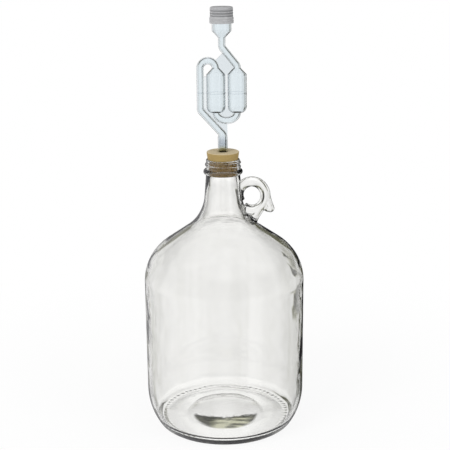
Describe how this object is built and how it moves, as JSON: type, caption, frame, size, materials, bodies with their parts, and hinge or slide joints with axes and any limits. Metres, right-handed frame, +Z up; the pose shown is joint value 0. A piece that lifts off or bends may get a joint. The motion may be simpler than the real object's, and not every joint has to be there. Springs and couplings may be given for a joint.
{
  "type": "fermentation jar with airlock",
  "caption": "Clear glass jug with a screw-finish neck and finger loop, closed by a drilled rubber stopper that carries a twin-bulb bubbler airlock with a push-on cap.",
  "frame": {"origin": "centre of the bearing ring under the jug, on the surface that it stands on", "axes": "+Z up along the jug's axis, +X towards the finger loop, -Y towards the viewer in the picture"},
  "size_m": [0.168, 0.168, 0.4416],
  "materials": {
    "jug_glass": "clear moulded glass with a faint grey-green tint",
    "gum_rubber": "matt tan gum rubber",
    "airlock_plastic": "clear injection-moulded plastic, slightly blue",
    "cap_plastic": "grey translucent moulded plastic"
  },
  "bodies": {
    "jug": {"glass_jug": "jug_glass"},
    "stopper": {"rubber_stopper": "gum_rubber"},
    "airlock": {"airlock_body": "airlock_plastic"},
    "cap": {"airlock_cap": "cap_plastic"}
  },
  "joints": [
    {"name": "stopper_lift", "type": "slide", "parent": "jug", "child": "stopper", "axis": [0, 0, 1], "range_m": [0, 0.03]},
    {"name": "airlock_lift", "type": "slide", "parent": "stopper", "child": "airlock", "axis": [0, 0, 1], "range_m": [0, 0.03]},
    {"name": "cap_lift", "type": "slide", "parent": "airlock", "child": "cap", "axis": [0, 0, 1], "range_m": [0, 0.02]}
  ]
}
